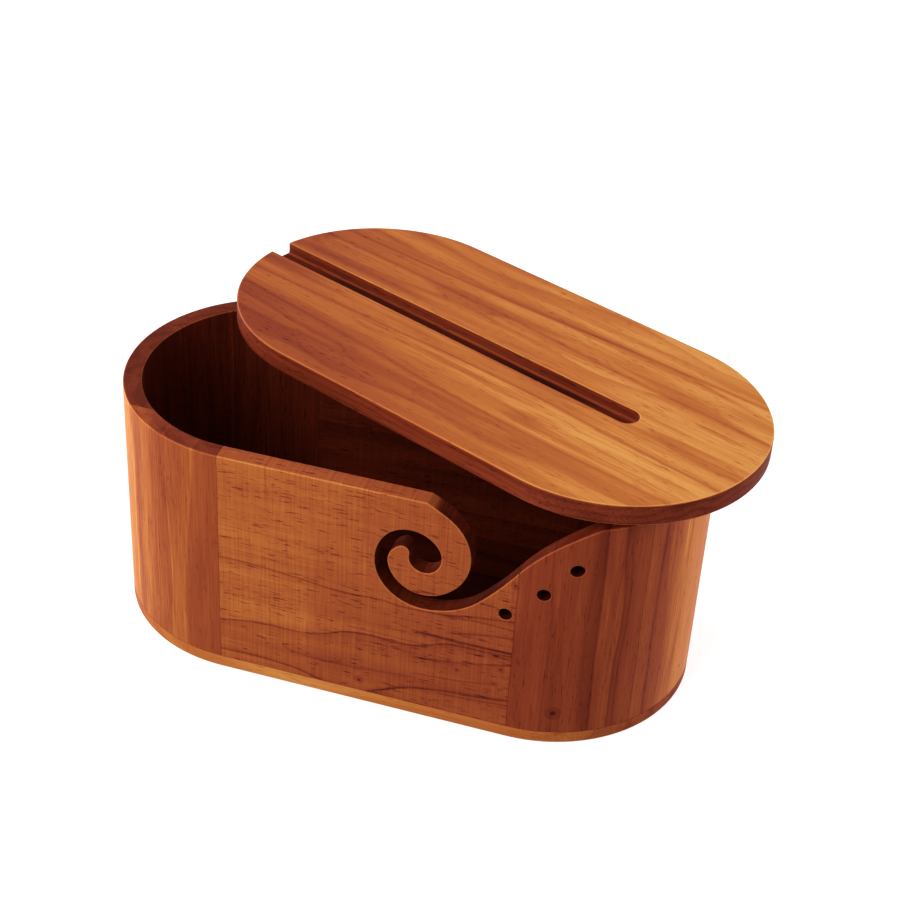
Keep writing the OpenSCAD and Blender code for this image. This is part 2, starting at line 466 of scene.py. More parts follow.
def groove_cutter():
    """Cutting shape of the telephone groove: a run with a round end, drawn in or let out by height.

    The floor's corner is drawn in by c (1 - sin f) at c (1 - cos f) above the floor. The top edge is let out
    by q (1 - cos f) at q (1 - sin f) below the lid's top. Where the groove leaves the lid, its sides turn
    outwards by m (1 - cos f) at m (1 - sin f) before the end.
    """
    scene = bpy.context.scene
    cuts, flare = scene.yarn_box_cuts, scene.yarn_box_edges.hole
    top = LID_HIGH[2]
    half = cuts.groove_w / 2
    angles = soft_angles()
    fillet = cuts.groove_fillet
    let_out = np.concatenate([-fillet * (1 - np.sin(angles)), flare * (1 - np.cos(angles)), [flare]])
    height = np.concatenate([
        top - cuts.groove_d + fillet * (1 - np.cos(angles)),
        top - flare * (1 - np.sin(angles)) + GROOVE_PROUD, [top + PAST]])
    turn = np.linspace(-math.pi / 2, math.pi / 2, GROOVE_POINTS)
    end_x = SEAM_X + LID_R - cuts.groove_stop - half
    mouth = cuts.groove_mouth
    mouth_x = -SEAM_X - math.sqrt(LID_R**2 - half**2)
    sides_x = np.concatenate([[mouth_x - 1.5 * PAST], mouth_x + mouth * (1 - np.sin(angles[::-1]))])
    sides_out = np.concatenate([[mouth], mouth * (1 - np.cos(angles[::-1]))])
    rings = []
    for out, z in zip(let_out, height):
        reach = half + out
        x = np.concatenate([sides_x, end_x + reach * np.cos(turn), sides_x[::-1]])
        y = np.concatenate([-reach - sides_out, reach * np.sin(turn), (reach + sides_out)[::-1]])
        rings.append(np.column_stack([x, cuts.groove_back + y, np.full(len(x), z)]))
    return closed_skin("groove_cutter", lid_frame(np.array(rings)))


def cut_away(piece, cutters):
    """Takes the cutting shapes out of the piece's mesh, and removes them."""
    for cutter in cutters:
        taken = piece.modifiers.new("Cut", "BOOLEAN")
        taken.object = cutter
        taken.operation = "DIFFERENCE"
        taken.solver = "EXACT"
    depsgraph = bpy.context.evaluated_depsgraph_get()
    cut = bpy.data.meshes.new_from_object(piece.evaluated_get(depsgraph))
    cut.name = piece.name
    piece.modifiers.clear()
    piece.data = cut
    for cutter in cutters:
        bpy.data.objects.remove(cutter)


def finish_piece(piece, body, node, finish):
    """Gives a piece its wood and its shading, and lets it stand for its CAD node."""
    piece.data.materials.clear()
    piece.data.materials.append(finish)
    piece.data.shade_smooth()
    piece.data.set_sharp_from_angle(angle=math.radians(50))
    shading = piece.modifiers.new("Shading", "WEIGHTED_NORMAL")
    shading.keep_sharp = True
    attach(piece, body)
    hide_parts(node)


# Materials


def seen(colour):
    """A colour given as it is seen, as the linear one that a socket takes: ((c + 0.055) / 1.055) ^ 2.4."""
    c = np.array(colour[:3], float)
    linear = np.where(c <= 0.04045, c / 12.92, ((c + 0.055) / 1.055) ** 2.4)
    return (*linear.tolist(), 1.0)


class Value:
    """A number on its way through a material. Sums and products of it add Math nodes."""

    def __init__(self, finish, socket):
        self.finish = finish
        self.socket = socket

    def __add__(self, other):
        return self.finish.maths("ADD", self, other)

    __radd__ = __add__

    def __sub__(self, other):
        return self.finish.maths("SUBTRACT", self, other)

    def __rsub__(self, other):
        return self.finish.maths("SUBTRACT", other, self)

    def __mul__(self, other):
        return self.finish.maths("MULTIPLY", self, other)

    __rmul__ = __mul__

    def __truediv__(self, other):
        return self.finish.maths("DIVIDE", self, other)

    def __rtruediv__(self, other):
        return self.finish.maths("DIVIDE", other, self)

    def __neg__(self):
        return self * -1

    def rise(self, low, high):
        """0 below low, 1 above high and a smooth step between them."""
        node = self.finish.node(
            "ShaderNodeMapRange", {"interpolation_type": "SMOOTHSTEP"},
            {"Value": self, "From Min": low, "From Max": high, "To Min": 0.0, "To Max": 1.0})
        return Value(self.finish, node.outputs[0])

    def hump(self, place, half_width):
        """1 at the place, falling off on both sides: exp(-((v - place) / half_width)^2)."""
        off = (self - place) / half_width
        return self.finish.maths("EXPONENT", -(off * off))

    def towards(self, other, mask):
        """This value, which becomes the other one where the mask is 1."""
        return self + (other - self) * mask

    def follow(self, path):
        """The place that a path of points (value, place) has at this value, as a smooth curve."""
        along, places = np.array(path, float).T
        low, high = places.min() - 1, places.max() + 1
        points = np.column_stack([(along - along[0]) / (along[-1] - along[0]), (places - low) / (high - low)])
        share = (self - along[0]) / (along[-1] - along[0])
        curve = self.finish.node("ShaderNodeFloatCurve", {"curve": points.tolist()}, {"Value": share})
        return Value(self.finish, curve.outputs[0]) * (high - low) + low


class Finish:
    """The nodes of one material, or of the world, while they are put together."""

    def __init__(self, owner):
        self.owner = owner
        owner.use_nodes = True
        self.tree = owner.node_tree
        self.tree.nodes.clear()

    def node(self, kind, settings=None, inputs=None):
        """One node with its settings, and then its sockets' values or links, by name or place."""
        made = self.tree.nodes.new(kind)
        for key, setting in (settings or {}).items():
            if key == "stops":
                self.set_stops(made.color_ramp, setting)
            elif key == "curve":
                self.set_curve(made.mapping, setting)
            else:
                setattr(made, key, setting)
        for key, value in (inputs or {}).items():
            if isinstance(value, Value):
                value = value.socket
            if isinstance(value, bpy.types.NodeSocket):
                self.tree.links.new(value, made.inputs[key])
            else:
                made.inputs[key].default_value = value
        return made

    @staticmethod
    def set_stops(ramp, stops):
        """Puts the stops (place, colour) into a colour ramp."""
        while len(ramp.elements) < len(stops):
            ramp.elements.new(0.5)
        for element, (place, colour) in zip(ramp.elements, stops):
            element.position = place
            element.color = colour

    @staticmethod
    def set_curve(mapping, points):
        """Puts the points (from 0 to 1, from 0 to 1) into a float curve."""
        curve = mapping.curves[0]
        while len(curve.points) < len(points):
            curve.points.new(0.5, 0.5)
        for point, place in zip(curve.points, points):
            point.location = place
        mapping.update()

    def maths(self, operation, *values, clamped=False):
        """Values through one Math node."""
        made = self.node(
            "ShaderNodeMath", {"operation": operation, "use_clamp": clamped}, dict(enumerate(values)))
        return Value(self, made.outputs[0])

    def vector(self, operation, *values, output=0):
        """Vectors through one Vector Math node, as a socket."""
        made = self.node("ShaderNodeVectorMath", {"operation": operation}, dict(enumerate(values)))
        return made.outputs[output]

    def parts(self, vector):
        """The three numbers of a vector."""
        made = self.node("ShaderNodeSeparateXYZ", None, {0: vector})
        return [Value(self, made.outputs[i]) for i in range(3)]

    def joined(self, x, y, z):
        """A vector of three numbers."""
        return self.node("ShaderNodeCombineXYZ", None, {0: x, 1: y, 2: z}).outputs[0]

    def noise(self, vector, scales, detail=2.0, roughness=0.5):
        """Smooth noise about 0, whose waves measure about 1 / scales along the three axes."""
        stretched = self.vector("MULTIPLY", vector, scales)
        made = self.node(
            "ShaderNodeTexNoise", {"noise_dimensions": "3D"},
            {"Vector": stretched, "Scale": 1.0, "Detail": detail, "Roughness": roughness})
        return Value(self, made.outputs[0]) - 0.5


ALONG_X, ALONG_Z, ALONG_LID = "x", "z", "lid"
TONE_COUNT = 6

# Waves of the wood per mm, along its grain and across it
WANDER = (0.007, 0.03, 0.03)
RING_SPREAD = (0.002, 0.08, 0.08)
FIBRES = (0.035, 1.5, 1.5)
BROAD_BANDS = (0.006, 0.11, 0.11)
PATCHES = (0.012, 0.03, 0.03)
PORES = (0.14, 1.5, 1.5)
PORE_FIELD = (0.02, 0.06, 0.06)
SAW_MARKS = (0.85, 0.025, 0.025)


class WoodFinish(Finish):
    """The wood of one board, as a log in space, so that faces, edges and end grain show the same board.

    Places are in mm. The grain runs along x or z, or along the lid, and shift picks the stretch of the log.
    facing is 1 on the outer faces, or on the lid's top, and flat is 0 on the upright faces of the lid alone.
    """

    def __init__(self, name, along, shift):
        super().__init__(bpy.data.materials.new(name))
        self.place = self.vector("SCALE", self.node("ShaderNodeTexCoord").outputs["Object"])
        self.place.node.inputs["Scale"].default_value = 1 / MM
        self.x, self.y, self.z = self.parts(self.place)
        self.normal = self.node("ShaderNodeNewGeometry").outputs["Normal"]
        nx, ny, self.nz = self.parts(self.normal)
        self.is_lid = along == ALONG_LID
        if self.is_lid:
            lid = {"Vector": self.place, "Location": tuple(LID_CENTRE / MM), "Rotation": (0, 0, -LID_TURN)}
            grain = self.node("ShaderNodeMapping", {"vector_type": "TEXTURE"}, lid).outputs[0]
            along_normal = nx * math.cos(LID_TURN) - ny * math.sin(LID_TURN)
            self.facing = self.nz
            self.flat = (self.nz * self.nz).rise(0.1, 0.7)
        else:
            grain = self.joined(self.z, self.x, self.y) if along == ALONG_Z else self.place
            along_normal = self.nz if along == ALONG_Z else nx
            self.facing = self.outward()
            self.flat = 1.0
        self.length, self.ring_y, self.ring_z = self.parts(grain)
        self.end_grain = along_normal * along_normal
        self.log = self.vector("ADD", grain, shift)
        self.wander = self.noise(self.log, WANDER, 2.0)
        self.fine = self.noise(self.log, FIBRES, 4.0, 0.6)
        self.broad = self.noise(self.log, BROAD_BANDS, 3.0, 0.55)

    def measured(self, axis):
        """The place along x, y or z, or across the lid."""
        return {"x": self.x, "y": self.y, "z": self.z, "across": self.ring_y}[axis]

    def outward(self):
        """1 on a face that looks straight out of the box's outline, and -1 on one that looks inwards."""
        past_seam = self.x - self.maths("MAXIMUM", self.maths("MINIMUM", self.x, SEAM_X / MM), -SEAM_X / MM)
        away = self.vector("NORMALIZE", self.joined(past_seam, self.y, 0.0))
        return Value(self, self.vector("DOT_PRODUCT", away, self.normal, output=1))

    def late_wood(self, middle, width):
        """The dark late part of each year ring, the rings being width apart round a middle off the board."""
        off_y, off_z = self.ring_y - middle[0], self.ring_z - middle[1]
        radius = self.maths("SQRT", off_y * off_y + off_z * off_z) + self.wander * 14
        spread = self.noise(self.log, RING_SPREAD, 1.0)
        ring = self.maths("FRACT", radius / width + spread * 1.6)
        return ring.rise(0.3, 0.85) * (1 - ring.rise(0.85, 1.0))

    def dashes(self):
        """Short dark dashes of open pores."""
        field = self.noise(self.log, PORE_FIELD, 1.0)
        return (self.noise(self.log, PORES, 1.0) + field * 0.14).rise(0.15, 0.2)

    def groove_floor(self):
        """1 on the floor of the lid's groove."""
        return (LID_HIGH[2] / MM - self.z).rise(0.6, 2.5) * self.nz.rise(0.3, 0.7)

    def tone_with_painted_shade(self, tone, lean, faces, shaded_bores):
        """Tone of a face before its grain: the board's own, or the one in faces for that kind of face. Except
        on the end grain, those are painted shade, on the slot's cut walls partly their own darker cut wood
        too, and the walls of the holes are painted darkest as painted shade.
        """
        plain = self.x * lean[0] + self.y * lean[1] + self.z * lean[2] + tone
        # Painted shade on the lid: its upright sides and its groove's floor are drawn dark.
        if self.is_lid:
            return plain.towards(faces["side"], 1 - self.flat).towards(faces["cut"], self.groove_floor())
        if "end" in faces:
            plain = plain.towards(faces["end"], self.end_grain.rise(0.1, 0.7))
        # Painted shade on upward faces: a panel's rim is toned down against the light from above, and the
        # base's top, which is the hollow's floor, is drawn dark.
        if "top" in faces:
            plain = plain.towards(faces["top"], self.nz.rise(0.5, 0.9))
        # Painted shade on the faces that look into the hollow.
        if "inside_shade" in faces:
            plain = plain.towards(faces["inside_shade"], (-self.facing).rise(0.72, 0.96))
        # The slot's cut walls are drawn dark: partly their own darker cut wood, partly painted shade in the
        # slot.
        if "cut" in faces:
            in_wall = (BOX_H / MM - self.z).rise(1.2, 3.5) * (self.z - BASE_T / MM).rise(0.5, 1.5)
            plain = plain.towards(faces["cut"], in_wall * (1 - (self.facing * self.facing).rise(0.05, 0.5)))
        # Painted shade: the walls of the holes are painted darkest.
        hole_r = bpy.context.scene.yarn_box_cuts.hole_d / 2 / MM
        for bore_x, bore_z in shaded_bores:
            off_x, off_z = self.x - bore_x, self.z - bore_z
            gap = self.maths("SQRT", off_x * off_x + off_z * off_z)
            plain = plain.towards(0.0, 1 - gap.rise(hole_r + 0.02, hole_r + 0.14))
        return plain

    def line_mark(self, axis, half_width, change, soft_width, soft_change, path):
        """Line of the grain along a path, broken up by the fibres, with a soft shade on one side of it. A few
        broad pale ones on the round ends are painted highlights instead.
        """
        gap = self.measured(axis) - self.length.follow(path) + self.wander * 1.5 + self.fine * 0.9
        mark = gap.hump(0, half_width) * change
        if soft_width:
            away = gap / soft_width
            mark = mark + away.rise(-0.1, 0.0) * (1 - away.rise(0.0, 1.0)) * soft_change
        first, last = path[0][0], path[-1][0]
        ends = self.length.rise(first - 8, first + 2) * (1 - self.length.rise(last - 2, last + 8))
        return mark * ends * (self.broad * 2.2 + self.fine * 2.6 + 1) * self.flat

    def knot_mark(self, x, y, z, radius):
        """Dark pin knot with a ring round it."""
        gap = Value(self, self.vector("DISTANCE", self.place, (x, y, z), output=1)) + self.fine * 1.8
        return gap.hump(0, radius * 0.6) * -0.42 - gap.hump(radius * 1.35, radius * 0.4) * 0.09

    def worn_highlit_edges(self, seams, paler):
        """Change of tone on the softened edges, 4 paler f^2 (1 - f^2) where f is facing, which is partly worn
        wood and partly a painted highlight, and on glue lines.
        """
        squared = self.facing * self.facing
        slant = squared * (1 - squared) * 4 * paler
        if not seams:
            return slant
        glue = sum(self.measured(axis).hump(at, 0.28) for axis, at in seams)
        return slant * (1 - glue).rise(0, 1) - glue * 0.10


def wood(name, along, shift, tone, ring_middle, ring_width, ring_depth, bands, fibre, pores, saw_marks=0.0,
         lean=(0.0, 0.0, 0.0), lines=(), knots=(), seams=(), shaded_bores=(), faces=None):
    """Oiled solid wood of one board, with places in mm and tones from 0, darkest, to 1, palest.

    ring_middle and ring_width place the year rings. ring_depth, bands, fibre, pores and saw_marks say how
    strong each part of the grain is. lean tilts the tone, per mm. A line of the grain is (axis, half width,
    tone change, width and tone change of the soft shade on one side of it, path), a path being points (place
    along the grain, place on the axis); a few broad pale lines on the round ends are painted highlights. A
    knot is (x, y, z, radius), a seam (axis, place) and a bore (x, z), whose wall is painted darkest as
    painted shade. faces gives other tones to the end grain, top, hollow side, cut walls or groove, and the
    lid's side: the end grain's is its own, the rest are painted shade, the cut walls' partly their own darker
    cut wood too.
    """
    settings = bpy.context.scene.yarn_box_wood
    f = WoodFinish(name, along, shift)
    plain = f.tone_with_painted_shade(tone, lean, faces or {}, shaded_bores)
    patch = f.noise(f.log, PATCHES, 2.0)
    dashes = f.dashes()
    shade = f.broad * bands * 2.2 * (1 - f.end_grain * 0.5) + patch * 0.16 + f.fine * fibre * 1.6
    shade = shade - dashes * pores
    depth = f.end_grain * 0.03 + f.flat * ring_depth * 0.5 + ring_depth * 0.5
    shade = shade - f.late_wood(ring_middle, ring_width) * (f.fine * 2.5 + 1) * depth
    height = f.fine * 0.5 - dashes * 0.8 + f.broad * 0.25
    if saw_marks:
        marks = f.noise(f.log, SAW_MARKS, 2.0, 0.7)
        shade = shade + marks * saw_marks
        height = height + marks * 0.35
    for line in lines:
        shade = shade + f.line_mark(*line)
    for knot in knots:
        shade = shade + f.knot_mark(*knot)
    # The softened edges come out paler: partly worn wood, partly a painted highlight; glue lines darker.
    shade = shade + plain + f.worn_highlit_edges(seams, settings.worn_arris_highlight)

    tones = [seen(getattr(settings, f"tone_{i}")) for i in range(TONE_COUNT)]
    stops = [(i / (TONE_COUNT - 1), colour) for i, colour in enumerate(tones)]
    colour = f.node("ShaderNodeValToRGB", {"stops": stops}, {"Fac": shade})
    rough = settings.roughness + f.fine * 0.18 + dashes * 0.15 + f.end_grain * 0.12
    if f.is_lid:
        rough = rough + f.groove_floor() * 0.5
    bump = f.node("ShaderNodeBump", None, {"Strength": 0.35, "Distance": 0.12 * MM, "Height": height})
    shader = f.node("ShaderNodeBsdfPrincipled", None, {
        "Base Color": colour.outputs[0], "Roughness": rough, "Normal": bump.outputs[0],
        "IOR": 1.46, "Specular IOR Level": settings.specular})
    f.node("ShaderNodeOutputMaterial", None, {"Surface": shader.outputs[0]})
    return f.owner


# Operators, one for each piece or group of like pieces


# Glue lines that show on a piece: over the base, and where a straight panel meets the ends
BASE_SEAM = ("z", BASE_T / MM)
PANEL_SEAMS = [("x", -SEAM_X / MM), ("x", SEAM_X / MM), BASE_SEAM]

# Long dark lines of the front panel, a paler stretch on its left, and its pin knots (x, z, radius)
FRONT_LINES = [
    ("z", 34, 0.08, 0, 0, [(-150, 44), (-30, 50)]),
    ("z", 0.5, -0.20, -5, -0.05, [
        (-85, 71), (-60, 71), (-33, 69), (-7, 67), (6, 67.8), (22, 66.6), (57, 70.8), (90, 75)]),
    ("z", 0.5, -0.20, -8, -0.10, [
        (-85, 29), (-63, 33.8), (-52, 35.4), (-31, 35.7), (-20, 38.2), (-9, 42.4), (1, 43.9), (22, 43.7),
        (32, 46), (45, 50.4), (63, 51), (90, 52.4)]),
    ("z", 0.7, -0.30, 2, -0.12, [(30, 53.2), (45, 52.8), (64, 52.9), (90, 54)]),
    ("z", 0.6, -0.20, 4, -0.06, [(-85, 11), (-60, 12.8), (-38, 11.5), (-22, 7.5), (-10, 5)]),
    ("z", 0.7, -0.24, 3, -0.10, [
        (0, 5), (10, 10.2), (28, 17.2), (37.5, 18.8), (49, 20.3), (59, 20.9), (90, 26)]),
    ("z", 0.5, -0.20, 0, 0, [(42, 17.5), (60, 18.6), (90, 22)]),
    ("z", 0.5, -0.12, 3, -0.05, [(-42, 26), (-33, 21.1), (-13, 20.6), (7, 21.7), (24, 23.5)]),
    ("z", 0.6, -0.20, -3, -0.08, [(30, 37.5), (47, 39.6), (60, 42.3), (90, 51)]),
    ("z", 0.4, -0.16, 0, 0, [(44, 67.5), (62, 68), (90, 66)]),
    ("z", 0.5, -0.18, 3, -0.06, [(46, 57.5), (61, 60.6), (90, 64)]),
    ("z", 0.4, -0.14, 0, 0, [(30, 27), (46, 28.2), (64, 31)]),
    ("z", 0.4, -0.12, 0, 0, [(0, 46.5), (30, 46.3)]),
    ("z", 0.4, -0.12, 0, 0, [(0, 39.6), (30, 39)]),
    ("z", 0.4, -0.08, 0, 0, [(-85, 92), (-40, 90), (10, 89), (50, 91)]),
]
FRONT_KNOTS = [
    (-1.4, 13.5, 1.6), (-46.4, 121.6, 0.9), (74.0, 95, 1.5), (48.4, 35.3, 1.0), (70.1, 42.1, 1.2),
    (67.4, 32.3, 1.1)]


class BuildFrontPanel(bpy.types.Operator):
    """Front panel with the curl of the yarn slot and the lowest hole"""

    bl_idname = "yarn_box.front_panel"
    bl_label = "Front panel"

    def execute(self, context):
        outline, edge = panel_outline()
        piece = upright_plate("front_board", outline, edge, FRONT_LOW[1], FRONT_HIGH[1])
        cut_away(piece, [hole_cutter(HOLE_PLACES[0])])
        # Painted shade: the rim top is toned down against the light from above, and the face into the hollow,
        # the slot's cut walls and the hole's wall are drawn dark; the cut walls are partly their own darker
        # cut wood.
        finish = wood(
            "front_wood", ALONG_X, (310, 40, 20), 0.49, ring_middle=(-20, -70), ring_width=24,
            ring_depth=0.03, bands=0.10, fibre=0.14, pores=0.31, saw_marks=0.36,
            lean=(-0.0009, 0, 0.0011), lines=FRONT_LINES,
            knots=[(x, FRONT_LOW[1] / MM, z, radius) for x, z, radius in FRONT_KNOTS], seams=PANEL_SEAMS,
            shaded_bores=BORES, faces={"top": 0.54, "inside_shade": 0.2, "cut": 0.14})
        finish_piece(piece, "box", "front_panel", finish)
        return {"FINISHED"}


class BuildBackPanel(bpy.types.Operator):
    """Plain straight back panel"""

    bl_idname = "yarn_box.back_panel"
    bl_label = "Back panel"

    def execute(self, context):
        x = np.linspace(-SEAM_X, SEAM_X, 9)
        outer = np.stack([x, np.full(len(x), END_R)], axis=1)
        inner = np.stack([x, np.full(len(x), END_R - WALL_T)], axis=1)
        piece = wall_board("back_board", outer, inner, np.full(len(x), BOX_H), np.zeros(len(x)))
        # Painted shade: the rim top is toned down against the light from above, and the face into the hollow
        # is drawn dark.
        finish = wood(
            "back_wood", ALONG_X, (-230, 90, 140), 0.60, ring_middle=(20, -60), ring_width=19,
            ring_depth=0.08, bands=0.13, fibre=0.12, pores=0.28, saw_marks=0.2, lean=(0.0006, 0, 0),
            seams=PANEL_SEAMS, faces={"top": 0.45, "inside_shade": 0.2})
        finish_piece(piece, "box", "back_panel", finish)
        return {"FINISHED"}


# Darker stretches of the base at its two ends
BASE_LINES = [
    ("x", 34, -0.12, 0, 0, [(-400, -98), (400, -98)]),
    ("x", 115, -0.30, 0, 0, [(-400, 150), (400, 150)])]


class BuildBasePanel(bpy.types.Operator):
    """Base panel with the box's outline"""

    bl_idname = "yarn_box.base_panel"
    bl_label = "Base panel"

    def execute(self, context):
        edges = context.scene.yarn_box_edges
        piece = stadium_board("base_board", END_R, 0, BASE_T, edges.rim, edges.joint)
        # Painted shade: the base's top, which is the hollow's floor, is drawn dark; its pale end grain is its
        # own.
        finish = wood(
            "base_wood", ALONG_X, (60, -120, 75), 0.95, ring_middle=(10, -40), ring_width=11, ring_depth=0.08,
            bands=0.14, fibre=0.14, pores=0.15, lines=BASE_LINES, seams=[BASE_SEAM],
            faces={"end": 0.72, "top": 0.3})
        finish_piece(piece, "box", "base_panel", finish)
        return {"FINISHED"}


# Tone of each end board, from the front to the back, and lines that single boards show. Left boards 2 and 3
# and right board 3, where the ends curve away, are paler partly by their own tone and partly as a painted
# highlight.
LEFT_TONES_AND_HIGHLIGHT = [0.50, 0.90, 0.92, 0.74, 0.54, 0.56]
RIGHT_TONES_AND_HIGHLIGHT = [0.41, 0.50, 0.78, 0.66, 0.55, 0.52]
LEFT_LINES = {1: [
    ("x", 0.6, 0.14, -2.5, -0.10, [
        (-10, -103), (6, -103.6), (49, -102.5), (80, -103.6), (110, -105.5), (140, -106)]),
    ("x", 0.5, 0.05, -14, 0.06, [(-10, -95.5), (36, -95), (70, -93), (110, -89.5), (140, -88)]),
    # Painted highlight: broad pale bands where board 1 meets the paler board 2.
    ("x", 8, 0.12, 0, 0, [(-10, -132), (140, -132)]),
    ("x", 25, 0.26, 0, 0, [(-10, -128), (70, -129), (140, -130)])]}
RIGHT_LINES = {1: [
    ("x", 0.35, -0.08, 0, 0, [(-10, 91), (58, 92), (75, 92.4), (105, 90.5), (140, 90)]),
    ("x", 0.7, -0.05, -9, -0.13, [(-10, 114.2), (45, 113), (93, 113.1), (127, 112.5), (140, 112)]),
    ("x", 2.6, 0.06, 0, 0, [(-10, 118), (80, 119), (140, 117)]),
    ("x", 0.5, -0.06, 7, -0.10, [(-10, 122), (43, 121.7), (79, 123), (114, 121), (140, 120.5)]),
    ("x", 0.35, -0.08, 0, 0, [(-10, 124.6), (43, 123.8), (78, 125), (119, 123.7), (140, 123)])],
    2: [("y", 0.8, -0.16, 5, -0.08, [(-10, -43), (60, -44), (140, -42)]),
        ("y", 0.5, -0.10, 0, 0, [(-10, -36), (140, -37)]),
        # Painted highlight: a broad pale band at the back of board 2, towards the paler board 3.
        ("y", 9, 0.22, 0, 0, [(-10, -25), (140, -25)])]}
RIGHT_KNOTS = {1: [(97.1, -71.7, 19.5, 2.4)], 3: [(148.2, -16.3, 19.9, 0.8)]}


def build_end(side, tones, end_tone, lines, knots):
    """The boards of one round end: side is 1 on the right, -1 on the left."""
    word = "right" if side > 0 else "left"
    for number in range(1, END_BOARDS + 1):
        has_ramp = side > 0 and number == 1
        outer, inner, top, slope = end_lines(number, has_ramp)
        outer[:, 0] *= side
        inner[:, 0] *= side
        piece = wall_board(f"{word}_board_{number}", outer, inner, top, slope)
        if has_ramp:
            cut_away(piece, [hole_cutter(place) for place in HOLE_PLACES[1:]])
        low_y = (-END_R + (number - 1) * BOARD_T) / MM
        seams = [BASE_SEAM]
        if number > 1:
            seams.append(("y", low_y))
        if number < END_BOARDS:
            seams.append(("y", low_y + BOARD_T / MM))
        if number in (1, END_BOARDS):
            seams.append(("x", side * SEAM_X / MM))
        # Painted shade: the faces into the hollow are drawn dark, and on the ramp board the slot's cut walls
        # (partly their own darker cut wood) and the walls of its two holes.
        faces = {"end": end_tone, "inside_shade": 0.17}
        if has_ramp:
            faces["cut"] = 0.2
        finish = wood(
            f"{word}_wood_{number}", ALONG_Z, (97 * number, side * 60, 43 * number), tones[number - 1],
            ring_middle=(side * (40 + 9 * number), 30 - 17 * number), ring_width=7 + number % 3,
            ring_depth=0.05, bands=0.11, fibre=0.24, pores=0.15, lines=lines.get(number, []),
            knots=knots.get(number, []), seams=seams, shaded_bores=BORES[1:] if has_ramp else [], faces=faces)
        finish_piece(piece, "box", f"{word}_end_board_{number}", finish)


class BuildLeftEnd(bpy.types.Operator):
    """Six upright boards of the left-hand round end"""

    bl_idname = "yarn_box.left_end"
    bl_label = "Left end"

    def execute(self, context):
        build_end(-1, LEFT_TONES_AND_HIGHLIGHT, 0.24, LEFT_LINES, {})
        return {"FINISHED"}


class BuildRightEnd(bpy.types.Operator):
    """Six upright boards of the right-hand round end, with the ramp and two holes in the first"""

    bl_idname = "yarn_box.right_end"
    bl_label = "Right end"

    def execute(self, context):
        build_end(1, RIGHT_TONES_AND_HIGHLIGHT, 0.26, RIGHT_LINES, RIGHT_KNOTS)
        return {"FINISHED"}


def lid_wood(name, shift, tone):
    """Golden wood of the lid, with long dark streaks along it, and dark edges and groove floor that are
    painted shade; at the round ends the edges are also darker end grain.
    """
    lines = [
        ("across", 13, 0.10, 0, 0, [(-160, -27), (-40, -24), (60, -27), (160, -30)]),
        ("across", 22, -0.10, 0, 0, [(-160, -58), (-80, -60), (0, -84), (160, -100)]),
        ("across", 1.0, -0.14, 7, -0.08, [(-160, -23), (-60, -20), (20, -17), (90, -19), (160, -20)]),
        ("across", 0.7, -0.10, 0, 0, [(-160, -10), (-50, -7), (40, -6), (160, -4)]),
        ("across", 1.6, -0.12, -9, -0.07, [(-160, -36), (-60, -40), (30, -45), (120, -44), (160, -40)]),
        ("across", 1.4, -0.12, 6, -0.06, [(-160, 30), (-40, 31), (60, 28), (160, 27)]),
        ("across", 1.2, -0.14, 9, -0.08, [(-160, 40), (-30, 44), (60, 50), (160, 54)]),
    ]
    # Painted shade: the lid's upright sides are drawn towards tone 0.25 and its groove's floor towards 0.12.
    return wood(
        name, ALONG_LID, shift, tone, ring_middle=(-20, -290), ring_width=4.6, ring_depth=0.12, bands=0.20,
        fibre=0.24, pores=0.2, lean=(0.0014, 0.0004, 0), lines=lines, faces={"side": 0.25, "cut": 0.12})


class BuildLidBoard(bpy.types.Operator):
    """Lid board with the groove that holds a telephone"""

    bl_idname = "yarn_box.lid_board"
    bl_label = "Lid board"

    def execute(self, context):
        rim = context.scene.yarn_box_edges.rim
        piece = stadium_board("lid_top", LID_R, LID_LOW[2], LID_HIGH[2], rim, rim, on_lid=True)
        cut_away(piece, [groove_cutter()])
        finish_piece(piece, "lid", "lid_board", lid_wood("lid_wood", (500, 210, 33), 0.71))
        return {"FINISHED"}


class BuildLocatingPanel(bpy.types.Operator):
    """Panel under the lid that drops into the hollow"""

    bl_idname = "yarn_box.locating_panel"
    bl_label = "Locating panel"

    def execute(self, context):
        edges = context.scene.yarn_box_edges
        piece = stadium_board(
            "lid_under", LOCATING_R, LOCATING_LOW[2], LOCATING_HIGH[2], edges.rim, edges.joint, on_lid=True)
        finish_piece(
            piece, "lid", "lid_locating_panel", lid_wood("lid_under_wood", (40, 333, 250), 0.62))
        return {"FINISHED"}


# Studio

# Its lamps: name, place, width, height and the setting that holds the power
LAMPS = [
    ("key_lamp", (-0.75, -1.25, 1.1), 1.2, 1.2, "key_light"),
    ("top_lamp", (0.2, 0.5, 1.7), 1.6, 1.2, "top_light"),
    ("left_lamp", (-1.3, 0.45, 0.36), 0.5, 0.6, "left_light"),
    ("right_lamp", (1.3, 0.65, 0.36), 0.5, 0.6, "right_light"),
]
LAMP_AIM = (0, 0, 0.07)
FLOOR_HALF = 4.0


def add_lamp(name, place, width, height, power):
    """Rectangular soft lamp at a place, turned to face the box."""
    data = bpy.data.lights.new(name, "AREA")
    data.shape = "RECTANGLE"
    data.size = width
    data.size_y = height
    data.energy = power
    lamp = bpy.data.objects.new(name, data)
    bpy.context.scene.collection.objects.link(lamp)
    lamp.location = place
    away = Vector(place) - Vector(LAMP_AIM)
    lamp.rotation_mode = "QUATERNION"
    lamp.rotation_quaternion = away.to_track_quat("Z", "Y")


